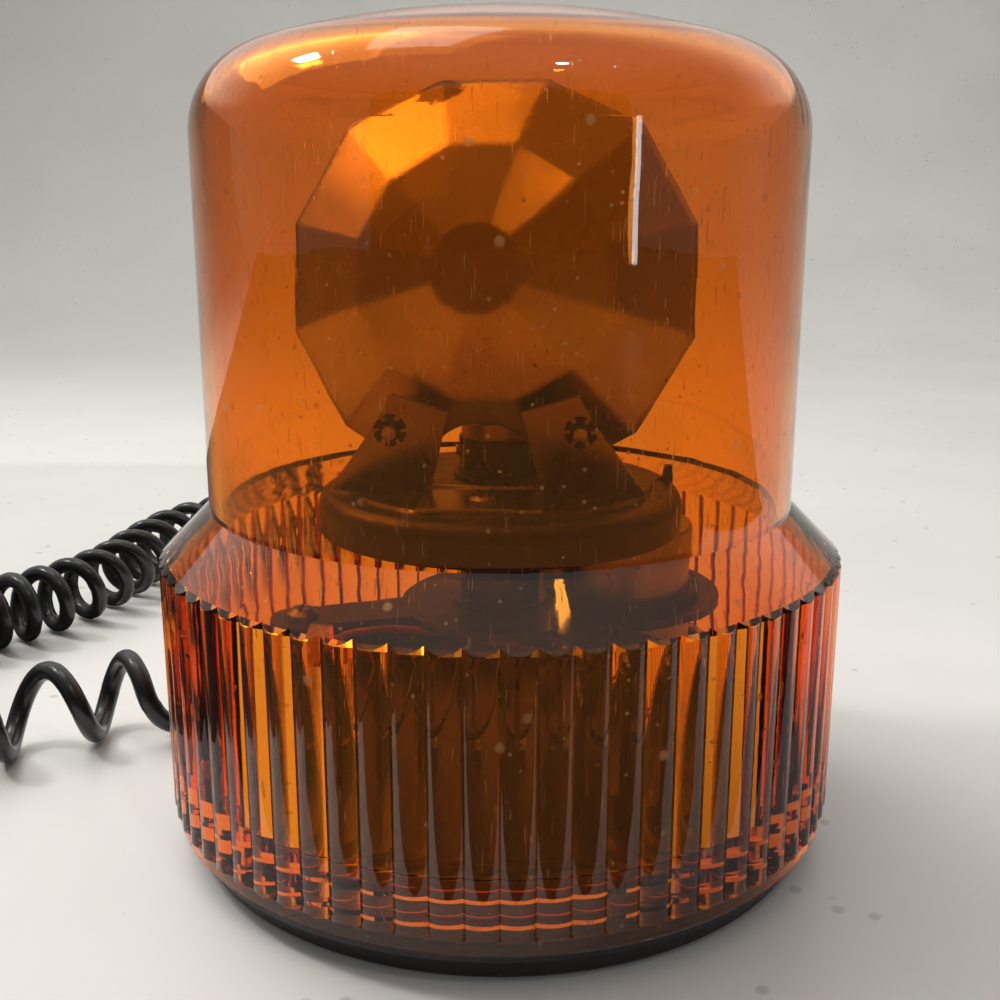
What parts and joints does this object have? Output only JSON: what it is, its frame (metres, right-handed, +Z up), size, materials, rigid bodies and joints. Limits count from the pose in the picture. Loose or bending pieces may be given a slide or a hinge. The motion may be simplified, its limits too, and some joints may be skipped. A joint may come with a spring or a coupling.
{
  "type": "revolving warning beacon",
  "caption": "Revolving warning light: amber screw-on lens over a motor-driven faceted reflector and lamp, on a round magnetic foot, with a curly cord and lighter-socket plug.",
  "frame": {"origin": "middle of the foot's underside, on the surface that the beacon stands on", "axes": "+Z up along the turntable's axis; -Y is the side that the moulded back of the reflector faces at rest; the cord leaves towards -X and +Y"},
  "size_m": [0.2411, 0.2755, 0.1545],
  "materials": {
    "amber_lens": "clear amber polycarbonate, scuffed and dusty",
    "black_moulding": "fine moulded texture",
    "black_rubber": "matt",
    "cord_jacket": "satin vinyl",
    "ferrite": "sintered, dull",
    "plated_steel": "zinc plated",
    "spring_steel": "darkened, some rust",
    "bright_reflector": "vacuum metallised, a little dusty",
    "bright_sheet": "bright plated sheet",
    "black_enamel": "black enamel, dusty, worn at its edges",
    "brass": "bare",
    "bronze": "sintered",
    "nylon": "natural",
    "phenolic": "pressed board",
    "clear_glass": "clear",
    "tungsten": "drawn wire",
    "copper": "enamelled windings",
    "red_vinyl": "satin",
    "black_vinyl": "satin",
    "white_vinyl": "satin"
  },
  "bodies": {
    "foot": {"base_pan": "black_moulding", "rubber_pad": "black_rubber", "magnet_ring": "ferrite", "magnet_cup": "plated_steel", "magnet_screw": "plated_steel", "magnet_nut": "plated_steel", "chassis_plate": "black_enamel", "chassis_screws": "plated_steel", "bulb_socket": "black_enamel", "socket_insulator": "phenolic", "contact_tag": "brass", "contact_spring": "spring_steel", "post_collar": "nylon", "retaining_clip": "spring_steel", "motor_can": "plated_steel", "motor_bush": "bronze", "motor_end_cap": "black_moulding", "motor_terminals": "brass", "motor_magnets": "ferrite", "motor_grommet": "black_rubber", "cord_jacket_end": "cord_jacket", "floor_grommet": "black_rubber", "lead_live": "red_vinyl", "lead_earth": "black_vinyl", "lead_lamp": "white_vinyl", "cord_grommet": "black_rubber", "cord_tail": "cord_jacket", "curly_cord": "cord_jacket", "plug_tail": "cord_jacket", "plug_boot": "black_rubber", "plug_body": "black_moulding", "plug_nose_ring": "black_moulding", "plug_spring": "spring_steel"},
    "seal_ring": {"lens_seal": "black_rubber"},
    "lens_cover": {"lens": "amber_lens"},
    "rotating_head": {"turntable": "black_moulding", "turntable_bush": "bronze", "ring_gear": "nylon", "reflector": "bright_reflector", "reflector_bracket": "bright_sheet", "push_nuts": "spring_steel", "bracket_screw": "plated_steel"},
    "motor_rotor": {"motor_shaft": "plated_steel", "motor_armature": "copper", "motor_commutator": "copper", "drive_pinion": "brass"},
    "lamp_contact": {"contact_plunger": "brass"},
    "lamp": {"bulb_cap": "brass", "bulb_glass": "clear_glass", "bulb_mount": "clear_glass", "bulb_filament": "tungsten"},
    "plug_pin": {"plug_tip": "plated_steel", "plug_fuse": "clear_glass"},
    "left_contact": {"plug_contact_left": "plated_steel"},
    "right_contact": {"plug_contact_right": "plated_steel"}
  },
  "joints": [
    {"name": "lens_unscrew", "type": "hinge", "parent": "foot", "child": "seal_ring", "pos_m": [0, 0, 0.0073], "axis": [0, 0, 1], "range_deg": [0, 900]},
    {"name": "lens_lift", "type": "slide", "parent": "seal_ring", "child": "lens_cover", "axis": [0, 0, 1], "range_m": [0, 0.0113]},
    {"name": "reflector_spin", "type": "hinge", "parent": "foot", "child": "rotating_head", "pos_m": [0, 0, 0.065], "axis": [0, 0, 1], "continuous": true},
    {"name": "motor_spin", "type": "hinge", "parent": "foot", "child": "motor_rotor", "pos_m": [0.0255, 0.00683, 0.04], "axis": [0, 0, 1], "continuous": true},
    {"name": "lamp_push", "type": "slide", "parent": "foot", "child": "lamp_contact", "axis": [0, 0, 1], "range_m": [-0.0018, 0], "stiffness_N_per_m": 600, "springref_m": 0.002, "deforming": ["contact_spring"]},
    {"name": "lamp_turn", "type": "hinge", "parent": "lamp_contact", "child": "lamp", "pos_m": [0, 0, 0.075], "axis": [0, 0, 1], "range_deg": [0, 22]},
    {"name": "plug_pin_press", "type": "slide", "parent": "foot", "child": "plug_pin", "axis": [0.9255, -0.3786, 0], "range_m": [-0.002, 0], "stiffness_N_per_m": 700, "springref_m": 0.002, "deforming": ["plug_spring"]},
    {"name": "left_contact_press", "type": "slide", "parent": "foot", "child": "left_contact", "axis": [0.3786, 0.9255, 0], "range_m": [-0.0012, 0], "stiffness_N_per_m": 500, "springref_m": 0.0008},
    {"name": "right_contact_press", "type": "slide", "parent": "foot", "child": "right_contact", "axis": [-0.3786, -0.9255, 0], "range_m": [-0.0012, 0], "stiffness_N_per_m": 500, "springref_m": 0.0008}
  ],
  "couplings": [
    {"joint": "lens_lift", "follows": "lens_unscrew", "m_per_rad": 0.0007162},
    {"joint": "motor_spin", "follows": "reflector_spin", "ratio": 6.5}
  ]
}
